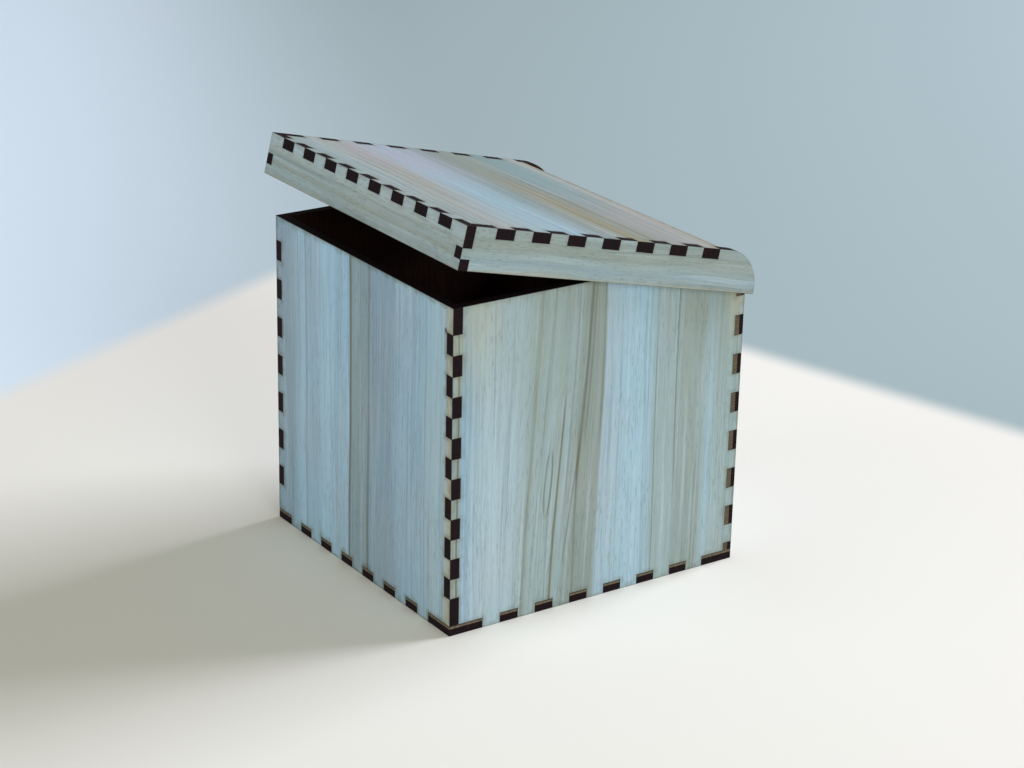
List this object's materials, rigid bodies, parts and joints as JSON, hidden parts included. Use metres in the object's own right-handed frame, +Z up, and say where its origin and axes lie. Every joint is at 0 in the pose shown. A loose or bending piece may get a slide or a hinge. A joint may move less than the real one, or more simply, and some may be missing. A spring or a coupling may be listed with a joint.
{
  "type": "wooden puzzle box",
  "caption": "Finger-jointed box of pale veneered board with scorched dark cut edges and an overlapping lid that swings on hidden pegs at the back, standing part open.",
  "frame": {"origin": "centre of the box's underside", "axes": "+Z up, +X to the right of the front wall, +Y to the back, where the lid's hinge is"},
  "size_m": [0.1046, 0.1016, 0.1211],
  "materials": {
    "veneered_board": "satin",
    "peg_wood": "matte"
  },
  "bodies": {
    "box": {"front_wall": "veneered_board", "back_wall": "veneered_board", "left_wall": "veneered_board", "right_wall": "veneered_board", "bottom_panel": "veneered_board"},
    "lid": {"lid_top": "veneered_board", "lid_front": "veneered_board", "lid_left_cheek": "veneered_board", "lid_right_cheek": "veneered_board", "hinge_peg_left": "peg_wood", "hinge_peg_right": "peg_wood"}
  },
  "joints": [
    {"name": "lid_hinge", "type": "hinge", "parent": "box", "child": "lid", "pos_m": [0, 0.0362, 0.0905], "axis": [-1, 0, 0], "range_deg": [-13.6, 78.4]}
  ]
}
